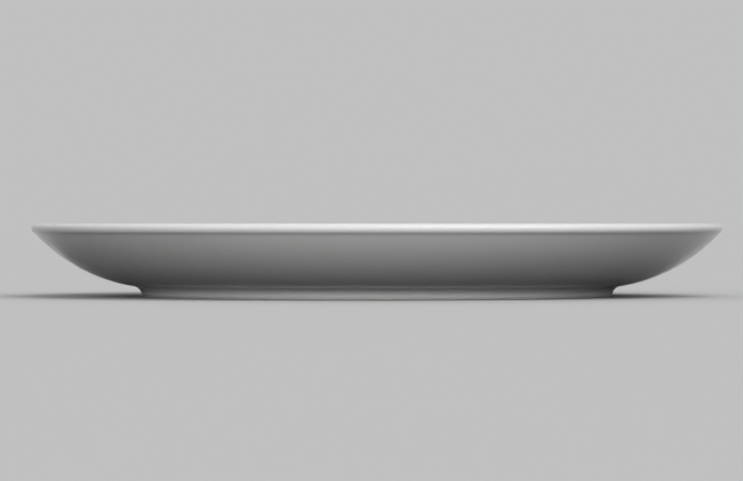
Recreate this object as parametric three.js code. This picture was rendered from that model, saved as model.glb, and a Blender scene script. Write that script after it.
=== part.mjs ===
// A round coupe plate of white glazed porcelain, as it leaves the glost kiln. It has one pressed body, with its
// lip and its foot ring in the same piece of clay, and two coats of glaze that the dry standing ring keeps
// apart: one over the well, the lip and the wall, and one inside the foot ring.
// Millimetres, +Z up. The origin lies on the table, under the centre of the plate.
import * as THREE from "three";

// The finished plate, measured over its glaze
const plateDiameter = 300;
const plateHeight = 31.8;

// A coat of glaze as it is fired on, and the hair of room that keeps its facets clear of the porcelain's
const glazeThickness = 0.4;
const bondGap = 0.02;

// The wall of the body in section, as bare porcelain. It rises from a level underbody in one round sweep
// and leaves it at the flare angle, measured from the table in degrees.
const flareAngle = 48;
const wallSweepRadius = 72;
const wallThickness = 4.4;
const underbodyHeight = 4.1;

// The well, inside the wall
const floorThickness = 4.6;
const wellSweepRadius = 63;

// The lip: an upright edge, a shallow bevel above it and a narrow crown, all with their corners rounded
const lipEdgeHeight = 2.1;
const lipBevelDrop = 1;
const lipBevelWidth = 1.4;
const lipEdgeRadius = 1.4;
const lipBevelRadius = 1;
const lipCrownRadius = 2;
const lipInnerRadius = 1.4;

// The foot ring. Its diameter and width are those of its sharp corners on the table, and both of its sides
// lean away from the upright, in degrees.
const footDiameter = 203;
const footRingWidth = 6.4;
const footOuterLean = 12;
const footInnerLean = 35;
const footEdgeRadius = 0.7;
const footCoveRadius = 4.5;

// The recess inside the foot ring
const recessHeight = 4.8;
const recessCoveRadius = 3;

// How far the glaze stays above the rounded edges of the standing ring
const dryBand = 0.15;

// How closely the facets follow the section's curves, the shortest run that counts as one, how much of a run
// the rounding of its corner may take up, and how many facets make up one turn
const sectionTolerance = 0.09;
const shortestRun = 0.001;
const cornerShare = 0.95;
const turnSteps = 60;

const radians = THREE.MathUtils.degToRad;

// A point of the section: its distance from the plate's axis and its height above the table
const sectionPoint = (radius, height) => new THREE.Vector2(radius, height);

// The point that lies a distance along a direction
const along = (point, direction, distance) => point.clone().addScaledVector(direction, distance);

// Where a sloping line, given by one of its points and its direction, comes to a height
function atHeight(point, direction, height) {
  return along(point, direction, (height - point.y) / direction.y);
}

// The rounding of a corner between two straight runs: its centre, its radius and the points where it leaves
// the runs. A radius that the shorter run has no room for is drawn in, so that some of the run stays straight.
function rounding(before, corner, after, wantedRadius) {
  const back = before.clone().sub(corner);
  const onward = after.clone().sub(corner);
  const halfAngle = Math.acos(back.dot(onward) / (back.length() * onward.length())) / 2;
  const room = cornerShare * Math.min(back.length(), onward.length());
  const reach = Math.min(wantedRadius / Math.tan(halfAngle), room);
  const radius = reach * Math.tan(halfAngle);
  back.normalize();
  onward.normalize();
  const bisector = back.clone().add(onward).normalize();
  return {
    radius,
    centre: along(corner, bisector, radius / Math.sin(halfAngle)),
    start: along(corner, back, reach),
    end: along(corner, onward, reach),
  };
}

// Carries a path along an arc from one point of a circle to another, the short way round
function arcTo(path, centre, start, end) {
  const from = start.clone().sub(centre);
  const to = end.clone().sub(centre);
  path.lineTo(start.x, start.y);
  path.absarc(centre.x, centre.y, from.length(), from.angle(), to.angle(), from.cross(to) < 0);
}

function roundCorner(path, corner, after, wantedRadius) {
  const round = rounding(path.currentPoint, corner, after, wantedRadius);
  arcTo(path, round.centre, round.start, round.end);
}

// The corners of the lip. The outer wall's straight flare runs up to the foot of the upright edge.
const rimRadius = plateDiameter / 2 - glazeThickness;
const rimHeight = plateHeight - glazeThickness;
const flare = sectionPoint(Math.cos(radians(flareAngle)), Math.sin(radians(flareAngle)));
const intoWall = sectionPoint(-flare.y, flare.x);
const lipEdgeFoot = sectionPoint(rimRadius, rimHeight - lipEdgeHeight);
const lipEdgeTop = sectionPoint(rimRadius, rimHeight - lipBevelDrop);
const lipCrown = sectionPoint(rimRadius - lipBevelWidth, rimHeight);
const innerFlare = along(lipEdgeFoot, intoWall, wallThickness);
const lipInner = atHeight(innerFlare, flare, rimHeight);

// The well's floor, and the corner that its sweep rounds off
const floorHeight = recessHeight + floorThickness;
const wellCentre = sectionPoint(0, floorHeight);
const wellCorner = atHeight(innerFlare, flare, floorHeight);

// The outer wall's sweep, tangent to the flare above and to the level underbody
const wallCorner = atHeight(lipEdgeFoot, flare, underbodyHeight);
const wallSweep = rounding(lipEdgeFoot, wallCorner, sectionPoint(0, underbodyHeight), wallSweepRadius);

// The foot ring's corners on the table, its two sides and the recess inside it
const footOuterSide = sectionPoint(Math.sin(radians(footOuterLean)), Math.cos(radians(footOuterLean)));
const footInnerSide = sectionPoint(-Math.sin(radians(footInnerLean)), Math.cos(radians(footInnerLean)));
const footOuterCorner = sectionPoint(footDiameter / 2, 0);
const footInnerCorner = along(footOuterCorner, sectionPoint(-1, 0), footRingWidth);
const recessCorner = atHeight(footInnerCorner, footInnerSide, recessHeight);
const recessCentre = sectionPoint(0, recessHeight);

// The standing ring's rounded edges, and the lines on the ring's sides where the two coats of glaze end
const footOuterTop = atHeight(footOuterCorner, footOuterSide, underbodyHeight);
const outerEdge = rounding(footOuterTop, footOuterCorner, footInnerCorner, footEdgeRadius);
const innerEdge = rounding(footOuterCorner, footInnerCorner, recessCorner, footEdgeRadius);
const outerDryLine = along(outerEdge.start, footOuterSide, dryBand);
const innerDryLine = along(innerEdge.end, footInnerSide, dryBand);

// The cove between the underbody and the foot's outer side. Its centre keeps the cove's radius away from the
// side. It lies as far under the underbody where that is level there, and otherwise as far outside the sweep.
function coveOf(radius) {
  const offSide = sectionPoint(footOuterSide.y, -footOuterSide.x);
  const beside = along(footOuterCorner, offSide, radius);
  let centre = atHeight(beside, footOuterSide, underbodyHeight - radius);
  let start = sectionPoint(centre.x, underbodyHeight);
  if (centre.x > wallSweep.end.x) {
    const fromSweep = beside.clone().sub(wallSweep.centre);
    const level = fromSweep.dot(footOuterSide);
    const apart = wallSweep.radius + radius;
    const climb = -level - Math.sqrt(level * level - fromSweep.lengthSq() + apart * apart);
    centre = along(beside, footOuterSide, climb);
    const down = centre.clone().sub(wallSweep.centre).normalize();
    start = along(wallSweep.centre, down, wallSweep.radius);
  }
  return { centre, start, end: along(centre, offSide, -radius) };
}

// The foot's own cove. One that would come down to the dry line is drawn in, so that it ends a glaze's
// thickness above it.
function footCove() {
  const wanted = coveOf(footCoveRadius);
  const missing = outerDryLine.y + glazeThickness - wanted.end.y;
  return missing > 0 ? coveOf(footCoveRadius - missing / (1 - footOuterSide.x)) : wanted;
}
const cove = footCove();

// The stretch of the section that the face glaze covers: the well, the lip, the wall and the foot's outside
function faceStretch() {
  const path = new THREE.Path().moveTo(wellCentre.x, wellCentre.y);
  roundCorner(path, wellCorner, lipInner, wellSweepRadius);
  roundCorner(path, lipInner, lipCrown, lipInnerRadius);
  roundCorner(path, lipCrown, lipEdgeTop, lipCrownRadius);
  roundCorner(path, lipEdgeTop, lipEdgeFoot, lipBevelRadius);
  roundCorner(path, lipEdgeFoot, wallSweep.start, lipEdgeRadius);
  const sweepEnd = cove.start.x > wallSweep.end.x ? cove.start : wallSweep.end;
  arcTo(path, wallSweep.centre, wallSweep.start, sweepEnd);
  arcTo(path, cove.centre, cove.start, cove.end);
  path.lineTo(outerDryLine.x, outerDryLine.y);
  return path;
}

// The stretch that stays bare: the standing ring between the two dry lines
function dryStretch() {
  const path = new THREE.Path().moveTo(outerDryLine.x, outerDryLine.y);
  arcTo(path, outerEdge.centre, outerEdge.start, outerEdge.end);
  arcTo(path, innerEdge.centre, innerEdge.start, innerEdge.end);
  path.lineTo(innerDryLine.x, innerDryLine.y);
  return path;
}

// The stretch that the base glaze covers: the foot's inside and the recess
function baseStretch() {
  const path = new THREE.Path().moveTo(innerDryLine.x, innerDryLine.y);
  roundCorner(path, recessCorner, recessCentre, recessCoveRadius);
  path.lineTo(recessCentre.x, recessCentre.y);
  return path;
}

// Steps that keep the chords of a curve within the tolerance of it. A straight run takes one.
function stepsAlong(curve) {
  if (curve.isLineCurve) return 1;
  const stepAngle = 2 * Math.acos(Math.max(0, 1 - sectionTolerance / curve.xRadius));
  return Math.max(2, Math.ceil(curve.getLength() / (curve.xRadius * stepAngle)));
}

// The points of a stretch, each with the direction that looks out of the porcelain there
function sampled(path) {
  const runs = path.curves.filter((curve) => curve.getLength() > shortestRun);
  const samples = [];
  const add = (curve, share) => {
    const heading = curve.getTangent(share);
    samples.push({ point: curve.getPoint(share), outward: sectionPoint(-heading.y, heading.x) });
  };
  runs.forEach((curve) => {
    const steps = stepsAlong(curve);
    for (let step = 0; step < steps; step++) add(curve, step / steps);
  });
  add(runs.at(-1), 1);
  return samples;
}

// A solid of revolution about the plate's axis, from a section that runs round its material clockwise
function turned(section) {
  return new THREE.LatheGeometry([...section].reverse(), turnSteps).rotateX(Math.PI / 2);
}

function bodyGeometry(...stretches) {
  const outline = stretches.flatMap((stretch, index) => (index === 0 ? stretch : stretch.slice(1)));
  return turned(outline.map((sample) => sample.point));
}

// A coat of glaze. Its section runs along one of its two sides to the dry line and back along the other, from
// the plate's axis and to it.
function glazeGeometry(stretch) {
  const raised = (height) => stretch.map(({ point, outward }) => along(point, outward, height));
  const surface = raised(glazeThickness);
  const bond = raised(bondGap).reverse();
  const startsOnAxis = stretch[0].point.x === 0;
  return turned(startsOnAxis ? [...surface, ...bond] : [...bond, ...surface]);
}

function named(name, geometry, material) {
  const mesh = new THREE.Mesh(geometry, material);
  mesh.name = name;
  return mesh;
}

const barePorcelain = new THREE.MeshStandardMaterial({ color: 0xe4e2de, roughness: 0.65, metalness: 0 });
const whiteGlaze = new THREE.MeshStandardMaterial({ color: 0xe9e9e8, roughness: 0.1, metalness: 0 });

const face = sampled(faceStretch());
const dry = sampled(dryStretch());
const base = sampled(baseStretch());

const plate = new THREE.Group();
plate.add(
  named("porcelain_body", bodyGeometry(face, dry, base), barePorcelain),
  named("face_glaze", glazeGeometry(face), whiteGlaze),
  named("base_glaze", glazeGeometry(base), whiteGlaze),
);

export default plate;
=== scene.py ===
import bpy
import numpy as np
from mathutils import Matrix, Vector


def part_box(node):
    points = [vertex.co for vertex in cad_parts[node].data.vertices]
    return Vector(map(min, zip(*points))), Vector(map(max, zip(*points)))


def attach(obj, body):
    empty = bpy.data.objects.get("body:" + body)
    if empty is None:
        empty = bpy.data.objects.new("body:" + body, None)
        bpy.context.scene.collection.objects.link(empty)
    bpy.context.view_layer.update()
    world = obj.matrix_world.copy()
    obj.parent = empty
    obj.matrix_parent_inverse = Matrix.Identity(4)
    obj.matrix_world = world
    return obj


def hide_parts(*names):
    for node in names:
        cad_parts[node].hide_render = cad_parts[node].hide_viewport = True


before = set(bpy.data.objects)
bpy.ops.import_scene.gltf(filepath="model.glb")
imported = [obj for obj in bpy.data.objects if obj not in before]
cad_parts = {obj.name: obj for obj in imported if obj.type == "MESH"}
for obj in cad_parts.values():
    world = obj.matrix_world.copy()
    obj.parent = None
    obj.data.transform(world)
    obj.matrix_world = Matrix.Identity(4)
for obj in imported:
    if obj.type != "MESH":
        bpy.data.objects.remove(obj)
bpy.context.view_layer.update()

# Porcelain body
# The plate's own clay: hard porcelain, formed on a plaster mould under a turning roller head and fired white.
# The well, the wall, the lip and the foot ring are one piece of it. Only the standing ring, which is ground
# smooth after the last firing, is left bare.

# The plate's section is drawn in millimetres, as complex numbers: the real part is the distance from the
# plate's axis, and the imaginary part is the height above the table. It runs from the middle of the well over
# the lip, down the wall and round the foot to the middle of the base, so its left side looks out of the clay.
millimetre = 0.001
rim_radius, _, rim_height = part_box("porcelain_body")[1] / millimetre
flare_angle = np.radians(48)
wall_sweep_radius = 72
wall_thickness = 4.4
underbody_height = 4.1
floor_thickness = 4.6
well_sweep_radius = 63
lip_edge_height = 2.1
lip_bevel_drop = 1.0
lip_bevel_width = 1.4
lip_edge_radius = 1.4
lip_bevel_radius = 1.0
lip_crown_radius = 2.0
lip_inner_radius = 1.4
foot_radius = 101.5
foot_ring_width = 6.4
foot_outer_lean = np.radians(12)
foot_inner_lean = np.radians(35)
foot_edge_radius = 0.7
foot_cove_radius = 4.5
recess_height = 4.8
recess_cove_radius = 3.0
dry_band = 0.15

# How many points each stretch of the section has, and how many steps make up one turn
level_points = 4
well_points = 34
lip_inner_points = 7
lip_crown_points = 6
lip_bevel_points = 7
lip_edge_points = 9
flare_points = 4
wall_points = 42
cove_points = 18
foot_edge_points = 8
recess_points = 12
turn_steps = 256


def at_height(place, heading, height):
    """Where the straight line through a place comes to a height: the place, moved along the line's heading by
    the height that is missing over the height that the heading gains."""
    return place + heading * (height - place.imag) / heading.imag


def straight(start, end, count):
    """A straight run of evenly spaced points from start to just short of end. Row 0 holds the points, and row
    1 the direction to their left, which is the run's heading turned by a quarter turn."""
    points = np.linspace(start, end, count, endpoint=False)
    return np.array([points, np.full(count, 1j * (end - start) / abs(end - start))])


def arc(centre, start, end, count):
    """An arc round a centre, the short way from start to end: the first spoke, turned by equal angles. Row 0
    holds the points, and row 1 the direction to their left, along the spoke or against it."""
    turn = np.angle((end - centre) / (start - centre))
    spokes = (start - centre) * np.exp(1j * turn * np.linspace(0, 1, count))
    return np.array([centre + spokes, -np.sign(turn) * spokes / abs(spokes)])


def rounded(before, corner, after, radius, count):
    """The arc that rounds off a corner between two straight sides. It leaves each side at the radius over the
    tangent of half the corner's angle, round a centre on the bisector at the radius over that half's sine."""
    back = (before - corner) / abs(before - corner)
    onward = (after - corner) / abs(after - corner)
    half_angle = abs(np.angle(onward / back)) / 2
    reach = radius / np.tan(half_angle)
    bisector = (back + onward) / abs(back + onward)
    centre = corner + bisector * radius / np.sin(half_angle)
    return arc(centre, corner + back * reach, corner + onward * reach, count)


# The lip's corners, from the outer flare over the upright edge and the bevel to the inner flare
flare = np.exp(1j * flare_angle)
lip_edge_foot = rim_radius + 1j * (rim_height - lip_edge_height)
lip_edge_top = rim_radius + 1j * (rim_height - lip_bevel_drop)
lip_crown = rim_radius - lip_bevel_width + 1j * rim_height
inner_flare = lip_edge_foot + 1j * flare * wall_thickness
lip_inner = at_height(inner_flare, flare, rim_height)

# The well and the outer wall, each one round sweep between a level run and the flare. The points of the outer
# flare begin well below the lip's rounding.
well_centre = 1j * (recess_height + floor_thickness)
well_corner = at_height(inner_flare, flare, well_centre.imag)
well_sweep = rounded(well_centre, well_corner, lip_inner, well_sweep_radius, well_points)
wall_corner = at_height(lip_edge_foot, flare, underbody_height)
wall_start = wall_corner + flare * wall_sweep_radius * np.tan(flare_angle / 2)
wall_centre = wall_start + 1j * flare * wall_sweep_radius
flare_share = 0.6
flare_start = lip_edge_foot + (wall_start - lip_edge_foot) * flare_share

# The foot ring and the cove between it and the wall. The cove's centre keeps the cove's radius away from the
# foot's side, and the two radii together away from the wall's centre.
foot_outer_side = 1j * np.exp(-1j * foot_outer_lean)
foot_inner_side = 1j * np.exp(1j * foot_inner_lean)
foot_outer_corner = complex(foot_radius)
foot_inner_corner = foot_outer_corner - foot_ring_width
beside_foot = foot_outer_corner - 1j * foot_outer_side * foot_cove_radius - wall_centre
along_foot = (beside_foot * foot_outer_side.conjugate()).real
centres_apart = wall_sweep_radius + foot_cove_radius
climb = -along_foot - np.sqrt(along_foot**2 - abs(beside_foot) ** 2 + centres_apart**2)
cove_centre = wall_centre + beside_foot + foot_outer_side * climb
cove_start = wall_centre + (cove_centre - wall_centre) * wall_sweep_radius / centres_apart
cove_end = cove_centre + 1j * foot_outer_side * foot_cove_radius
foot_cove = arc(cove_centre, cove_start, cove_end, cove_points)

# The standing ring's rounded edges, and the recess inside it. The recess's ceiling is drawn from the axis and
# then turned round, so that it ends there.
recess_centre = 1j * recess_height
recess_corner = at_height(foot_inner_corner, foot_inner_side, recess_height)
outer_edge = rounded(cove_end, foot_outer_corner, foot_inner_corner, foot_edge_radius, foot_edge_points)
inner_edge = rounded(foot_outer_corner, foot_inner_corner, recess_corner, foot_edge_radius, foot_edge_points)
recess_cove = rounded(foot_inner_corner, recess_corner, recess_centre, recess_cove_radius, recess_points)
recess_ceiling = straight(recess_centre, recess_cove[0, -1], level_points)[:, ::-1] * np.array([[1], [-1]])

# The wall's last point is the cove's first, so it is left out
wall_and_lip = np.hstack([
    well_sweep,
    rounded(well_corner, lip_inner, lip_crown, lip_inner_radius, lip_inner_points),
    rounded(lip_inner, lip_crown, lip_edge_top, lip_crown_radius, lip_crown_points),
    rounded(lip_crown, lip_edge_top, lip_edge_foot, lip_bevel_radius, lip_bevel_points),
    rounded(lip_edge_top, lip_edge_foot, wall_corner, lip_edge_radius, lip_edge_points),
    straight(flare_start, wall_start, flare_points),
    arc(wall_centre, wall_start, cove_start, wall_points)[:, :-1],
    foot_cove,
])
well_floor = straight(well_centre, well_sweep[0, 0], level_points)
body_section = np.hstack([well_floor, wall_and_lip, outer_edge, inner_edge, recess_cove, recess_ceiling])


def turned(name, section, **marks):
    """A closed solid of revolution: a point of the section at distance r and height h goes to (r cos a,
    r sin a, h) at equal angles a. The section's two ends lie on the axis, and each is one vertex under a
    fan of triangles. A section may have one column for each angle. A mark holds a value for each of the
    section's points."""
    count = len(section)
    angle = np.arange(turn_steps) * 2 * np.pi / turn_steps
    rings = np.broadcast_to(section.reshape(count, -1), (count, turn_steps)) * millimetre
    places = np.stack([rings.real * np.cos(angle), rings.real * np.sin(angle), rings.imag], axis=2)
    kept = np.r_[0, turn_steps : (count - 1) * turn_steps + 1]
    here = 1 + turn_steps * np.arange(count - 2)[:, None] + np.arange(turn_steps)
    beside = np.roll(here, -1, axis=1)
    sides = np.stack([here[:-1], here[1:], beside[1:], beside[:-1]], axis=2).reshape(-1, 4)
    first_fan = np.stack([np.zeros(turn_steps, int), here[0], beside[0]], axis=1)
    last_fan = np.stack([np.full(turn_steps, len(kept) - 1), beside[-1], here[-1]], axis=1)
    mesh = bpy.data.meshes.new(name)
    faces = sides.tolist() + first_fan.tolist() + last_fan.tolist()
    mesh.from_pydata(places.reshape(-1, 3)[kept], [], faces)
    mesh.shade_smooth()
    for mark, values in marks.items():
        spread = np.repeat(values, turn_steps)[kept].astype(np.float32)
        mesh.attributes.new(mark, "FLOAT", "POINT").data.foreach_set("value", spread)
    solid = bpy.data.objects.new(name, mesh)
    bpy.context.scene.collection.objects.link(solid)
    return solid


def linear(colour):
    """An sRGB hex colour in linear light: a channel c, from 0 to 1, becomes c / 12.92 where it is under
    0.04045, and otherwise (c + 0.055) / 1.055 to the power of 2.4."""
    channels = np.array([int(colour[place : place + 2], 16) for place in (1, 3, 5)]) / 255
    lifted = np.where(channels < 0.04045, channels / 12.92, ((channels + 0.055) / 1.055) ** 2.4)
    return (*lifted, 1.0)


def add_node(tree, kind, sockets, **settings):
    """Adds one node to a tree, with its settings. A socket takes a value, or a link from another's output."""
    made = tree.nodes.new(kind)
    for setting, value in settings.items():
        setattr(made, setting, value)
    for socket, value in sockets.items():
        if isinstance(value, bpy.types.NodeSocket):
            tree.links.new(value, made.inputs[socket])
        else:
            made.inputs[socket].default_value = value
    return made


# Hard porcelain, unglazed, ground on a stone and polished: a dull, dense off-white. The stone leaves a fine
# tooth, drawn here at some five times its size so that it shows, and the ring is a little greyer where it has
# stood on shelves.
tooth_width = 0.5 * millimetre
tooth_depth = 0.03 * millimetre
tooth_strength = 0.5
shelf_mark_width = 9 * millimetre
bare_white = linear("#E4E2DE")
shelf_grey = linear("#D9D7D3")
smoothest, dullest = 0.46, 0.64
porcelain_ior = 1.5

# The noise keeps mostly between the first two values. A shelf mark begins to show at the third, and is full
# at the fourth.
noise_low, noise_high = 0.3, 0.7
mark_low, mark_high = 0.45, 0.75

bare_porcelain = bpy.data.materials.new("ground_hard_porcelain")
bare_porcelain.use_nodes = True
tree = bare_porcelain.node_tree
place = add_node(tree, "ShaderNodeTexCoord", {}).outputs["Object"]
tooth = add_node(tree, "ShaderNodeTexNoise", {"Vector": place, "Scale": 1 / tooth_width, "Detail": 3.0})
shelf_marks = add_node(
    tree, "ShaderNodeTexNoise", {"Vector": place, "Scale": 1 / shelf_mark_width, "Detail": 4.0}
)
greyed = add_node(
    tree,
    "ShaderNodeMapRange",
    {"Value": shelf_marks.outputs["Fac"], "From Min": mark_low, "From Max": mark_high},
)
tone = add_node(
    tree,
    "ShaderNodeMix",
    {"Factor": greyed.outputs["Result"], "A": bare_white, "B": shelf_grey},
    data_type="RGBA",
)
dullness = add_node(
    tree,
    "ShaderNodeMapRange",
    {
        "Value": tooth.outputs["Fac"],
        "From Min": noise_low,
        "From Max": noise_high,
        "To Min": smoothest,
        "To Max": dullest,
    },
)
ground = add_node(
    tree,
    "ShaderNodeBump",
    {"Height": tooth.outputs["Fac"], "Strength": tooth_strength, "Distance": tooth_depth},
)
surface = tree.nodes["Principled BSDF"]
surface.inputs["IOR"].default_value = porcelain_ior
tree.links.new(tone.outputs["Result"], surface.inputs["Base Color"])
tree.links.new(dullness.outputs["Result"], surface.inputs["Roughness"])
tree.links.new(ground.outputs["Normal"], surface.inputs["Normal"])

body = turned("plate_body", body_section[0])
body.data.materials.append(bare_porcelain)
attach(body, "root")
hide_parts("porcelain_body")

# Face glaze
# A clear feldspar glaze over the well, the lip and the outside of the plate, flooded on and melted to the
# clay in the last firing. It draws thin over the lip, and gathers under it and in the cove above the foot. It
# ends on the foot's side in a rolled edge, at a line that wavers because a sponge wiped the ring dry.
glaze_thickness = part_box("face_glaze")[1].z / millimetre - rim_height
bond_gap = 0.02
edge_roll = 0.4
roll_steps = 8

# The waver of the dry line: three sine waves, by their heights, their counts round the foot and their starts
waver_heights = np.array([0.05, 0.03, 0.02])
waver_counts = np.array([3, 8, 19])
waver_starts = np.array([0.4, 2.1, 5.0])

# Where the coat is thinner or deeper, as a share of its thickness, and how far each place reaches
lip_thinning = 0.1
lip_thinning_reach = 3
under_lip = lip_edge_foot - 0.6 - 0.9j
under_lip_pooling = 0.75
under_lip_reach = 1.0
cove_middle = foot_cove[0, cove_points // 2]
cove_pooling = 0.12
cove_pooling_reach = 2.6

# The rings that the roller head leaves in the well, which the glaze softens. They fade out towards the lip.
ripple_height = 0.006
ripple_width = 12
ripple_fade = 25
rippled_points = 64


def near(points, place, reach):
    """How near points lie to a place: one at the place, and falling off as a bell curve of that reach."""
    return np.exp(-(abs(points - place) ** 2) / reach**2)


def glaze_coat(section, dry_line, thickness):
    """A coat of glaze over a section that runs from the axis to a foot's side. Its outside is the section
    moved out by the thickness. It rolls down to the clay in a quarter of an ellipse that ends at the dry
    line, which three sine waves carry up and down the side, and goes back to the axis along the clay."""
    upward = (section[0, -1] - dry_line) / abs(section[0, -1] - dry_line)
    outward = section[1, -1]
    angle = np.arange(turn_steps)[:, None] * 2 * np.pi / turn_steps
    waver = (waver_heights * np.sin(waver_counts * angle + waver_starts)).sum(axis=1)
    roll = np.linspace(np.pi / 2, 0, roll_steps)[:, None]
    edge_height = bond_gap + (glaze_thickness - bond_gap) * np.sin(roll)
    edge = dry_line + upward * (waver + edge_roll * (1 - np.cos(roll))) + outward * edge_height
    outside = (section[0] + section[1] * thickness)[:, None].repeat(turn_steps, axis=1)
    inside = (section[0] + section[1] * bond_gap)[::-1, None].repeat(turn_steps, axis=1)
    return np.vstack([outside, edge, inside])


outer_dry_line = outer_edge[0, 0] + foot_outer_side * dry_band
rippled_floor = straight(well_centre, well_sweep[0, 0], rippled_points)
face_section = np.hstack([rippled_floor, wall_and_lip])
face_points, face_outward = face_section
off_lip = np.clip((well_sweep[0, -1].real - face_points.real) / ripple_fade, 0, 1)
in_well = off_lip * (face_outward.imag > 0)
ripple = ripple_height * in_well * np.cos(2 * np.pi * face_points.real / ripple_width)
# The depth share also sets a painted shade in the glaze: greyer under the lip and in the cove, palest over
# the lip
face_depth = (
    1
    - lip_thinning * near(face_points, lip_edge_top, lip_thinning_reach)
    + under_lip_pooling * near(face_points, under_lip, under_lip_reach)
    + cove_pooling * near(face_points, cove_middle, cove_pooling_reach)
)
face_loop = glaze_coat(face_section, outer_dry_line, glaze_thickness * face_depth + ripple)
face_depth = np.hstack([face_depth, np.ones(len(face_loop) - len(face_depth))])

# Clear glaze on white porcelain, glost fired: a neutral white under a hard gloss. It levels as it melts, but
# it keeps a faint peel that softens what it mirrors. Where it lies deep, under the lip and in the coves, a
# painted shade greys its white, and where it thins over the lip it stays palest.
peel_width = 4 * millimetre
peel_depth = 0.001 * millimetre
peel_strength = 0.6
cloud_width = 50 * millimetre
glaze_white = linear("#E9E9E8")
cloud_white = linear("#E5E5E4")
# The grey of a painted shade, for the glaze under the lip and in the coves
painted_shade_white = linear("#DEDFDF")
glossiest, least_glossy = 0.06, 0.1
glaze_ior = 1.52

white_glaze = bpy.data.materials.new("clear_glaze_on_porcelain")
white_glaze.use_nodes = True
tree = white_glaze.node_tree
place = add_node(tree, "ShaderNodeTexCoord", {}).outputs["Object"]
peel = add_node(tree, "ShaderNodeTexNoise", {"Vector": place, "Scale": 1 / peel_width, "Detail": 2.0})
cloud = add_node(tree, "ShaderNodeTexNoise", {"Vector": place, "Scale": 1 / cloud_width, "Detail": 2.0})
depth = add_node(tree, "ShaderNodeAttribute", {}, attribute_name="glaze_depth")
# Painted shade: the deeper the glaze lies, the greyer its white
painted_shade_share = add_node(
    tree,
    "ShaderNodeMapRange",
    {"Value": depth.outputs["Fac"], "From Min": 1 - lip_thinning, "From Max": 1 + under_lip_pooling},
)
clouded = add_node(
    tree,
    "ShaderNodeMix",
    {"Factor": cloud.outputs["Fac"], "A": glaze_white, "B": cloud_white},
    data_type="RGBA",
)
tone = add_node(
    tree,
    "ShaderNodeMix",
    {"Factor": painted_shade_share.outputs["Result"], "A": clouded.outputs["Result"], "B": painted_shade_white},
    data_type="RGBA",
)
gloss = add_node(
    tree,
    "ShaderNodeMapRange",
    {
        "Value": peel.outputs["Fac"],
        "From Min": noise_low,
        "From Max": noise_high,
        "To Min": glossiest,
        "To Max": least_glossy,
    },
)
skin = add_node(
    tree,
    "ShaderNodeBump",
    {"Height": peel.outputs["Fac"], "Strength": peel_strength, "Distance": peel_depth},
)
surface = tree.nodes["Principled BSDF"]
surface.inputs["IOR"].default_value = glaze_ior
tree.links.new(tone.outputs["Result"], surface.inputs["Base Color"])
tree.links.new(gloss.outputs["Result"], surface.inputs["Roughness"])
tree.links.new(skin.outputs["Normal"], surface.inputs["Normal"])

face = turned("plate_face_glaze", face_loop, glaze_depth=face_depth)
face.data.materials.append(white_glaze)
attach(face, "root")
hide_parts("face_glaze")

# Base glaze
# The same glaze inside the foot ring, as a coat of its own: the dry standing ring keeps it apart from the
# face's. It gathers in the cove round the recess, and its rolled edge wavers on the ring's inner side.
recess_pooling = 0.3
recess_pooling_reach = 2.5
inner_dry_line = inner_edge[0, -1] + foot_inner_side * dry_band
base_section = np.hstack([recess_cove, recess_ceiling])[:, ::-1]
# The depth share also sets the painted shade, greyer in the cove round the recess
base_depth = 1 + recess_pooling * near(base_section[0], recess_cove[0].mean(), recess_pooling_reach)
base_loop = glaze_coat(base_section, inner_dry_line, glaze_thickness * base_depth)
base_depth = np.hstack([base_depth, np.ones(len(base_loop) - len(base_depth))])

base = turned("plate_base_glaze", base_loop[::-1], glaze_depth=base_depth[::-1])
base.data.materials.append(white_glaze)
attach(base, "root")
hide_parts("base_glaze")

# Floor
# A plain sheet of pale grey paper that the plate stands on, wide enough to run out of sight. It is not
# attached to the plate.
floor_reach = 18.0
pale = linear("#D0D0D0")
floor_mesh = bpy.data.meshes.new("studio_floor")
corners = np.array([[-1, -1, 0], [1, -1, 0], [1, 1, 0], [-1, 1, 0]]) * floor_reach
floor_mesh.from_pydata(corners, [], [[0, 1, 2, 3]])
floor = bpy.data.objects.new("studio_floor", floor_mesh)
bpy.context.scene.collection.objects.link(floor)


def seen_rays(tree):
    """One for a ray that the eye sends out or that gloss or glass throws on, and nought for any other: the
    largest of the three marks that a ray carries for these."""
    ray = add_node(tree, "ShaderNodeLightPath", {}).outputs
    seen = add_node(
        tree, "ShaderNodeMath", {0: ray["Is Camera Ray"], 1: ray["Is Glossy Ray"]}, operation="MAXIMUM"
    )
    seen = add_node(
        tree, "ShaderNodeMath", {0: seen.outputs["Value"], 1: ray["Is Transmission Ray"]}, operation="MAXIMUM"
    )
    return seen.outputs["Value"]


# Paper, matt: pale to the eye and in the glaze. It throws little light back at the plate, so that the wall
# keeps its shade.
paper_to_light = linear("#141414")
paper = bpy.data.materials.new("pale_grey_paper")
paper.use_nodes = True
tree = paper.node_tree
tone = add_node(
    tree,
    "ShaderNodeMix",
    {"Factor": seen_rays(tree), "A": paper_to_light, "B": pale},
    data_type="RGBA",
)
surface = tree.nodes["Principled BSDF"]
surface.inputs["Roughness"].default_value = 1.0
surface.inputs["Specular IOR Level"].default_value = 0.0
tree.links.new(tone.outputs["Result"], surface.inputs["Base Color"])
floor_mesh.materials.append(paper)

# Light
# One wide soft lamp above, to the front and right, in a room that is bright low down in front, as from a
# large window a little to the left, dimmer behind and dim elsewhere. To the eye and in the glaze, the room is
# as pale as the floor.
room_level = 0.17
front_level = 5.05
front_edge = 0.84
front_aside = np.radians(-5)
back_level = 1.35
back_edge = 0.5
back_aside = np.radians(180)
patch_height = np.radians(12)
backdrop_level = 0.838
lamp_level = 1.42
lamp_width = np.radians(60)
lamp_turn = (np.radians(44), 0, np.radians(40))

world = bpy.data.worlds.new("pale_room")
bpy.context.scene.world = world
world.use_nodes = True
tree = world.node_tree
heading = add_node(tree, "ShaderNodeTexCoord", {}).outputs["Generated"]


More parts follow.
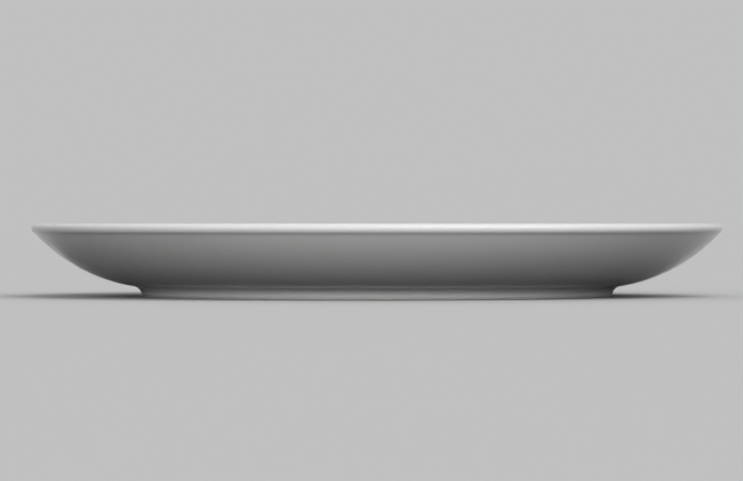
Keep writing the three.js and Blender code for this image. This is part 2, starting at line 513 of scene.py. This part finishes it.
def bright_patch(tree, heading, aside, edge, low, high):
    """A patch of light in the room, at an angle aside from the front. Its level rises smoothly from low to
    high while the cosine of the angle between a ray and the patch's middle goes from edge to one."""
    level_reach = np.cos(patch_height)
    middle = (np.sin(aside) * level_reach, -np.cos(aside) * level_reach, np.sin(patch_height))
    closeness = add_node(tree, "ShaderNodeVectorMath", {0: heading, 1: middle}, operation="DOT_PRODUCT")
    patch = add_node(
        tree,
        "ShaderNodeMapRange",
        {
            "Value": closeness.outputs["Value"],
            "From Min": edge,
            "From Max": 1.0,
            "To Min": low,
            "To Max": high,
        },
        interpolation_type="SMOOTHSTEP",
    )
    return patch.outputs["Result"]


window = bright_patch(tree, heading, front_aside, front_edge, room_level, front_level)
back_wall = bright_patch(tree, heading, back_aside, back_edge, 0.0, back_level)
level = add_node(tree, "ShaderNodeMath", {0: window, 1: back_wall}, operation="ADD")
room = tree.nodes["Background"]
room.inputs["Color"].default_value = (1, 1, 1, 1)
tree.links.new(level.outputs["Value"], room.inputs["Strength"])
backdrop = add_node(tree, "ShaderNodeBackground", {"Color": pale, "Strength": backdrop_level})
sky = add_node(
    tree,
    "ShaderNodeMixShader",
    {0: seen_rays(tree), 1: room.outputs["Background"], 2: backdrop.outputs["Background"]},
)
tree.links.new(sky.outputs["Shader"], tree.nodes["World Output"].inputs["Surface"])

lamp = bpy.data.lights.new("overhead_softbox", "SUN")
lamp.energy = lamp_level
lamp.angle = lamp_width
overhead = bpy.data.objects.new("overhead_softbox", lamp)
overhead.rotation_euler = lamp_turn
bpy.context.scene.collection.objects.link(overhead)

# Camera
# It stands level with the lip and some two metres back, so that the plate is seen exactly from the side. Its
# aim lies a little aside and below the lip, which sets the plate in the picture. Lengths are in metres, and
# the focal length is in millimetres.
camera_distance = 2.206
eye_height = 0.0316
aim_aside = -0.00239
aim_height = 0.02433
focal_length = 245.95
lens = bpy.data.cameras.new("side_view")
lens.lens = focal_length
camera = bpy.data.objects.new("side_view", lens)
camera.location = (0, -camera_distance, eye_height)
camera.rotation_euler = (
    np.radians(90) + np.arctan((aim_height - eye_height) / camera_distance),
    0,
    -np.arctan(aim_aside / camera_distance),
)
bpy.context.scene.collection.objects.link(camera)
bpy.context.scene.camera = camera
bpy.context.scene.view_settings.view_transform = "Standard"
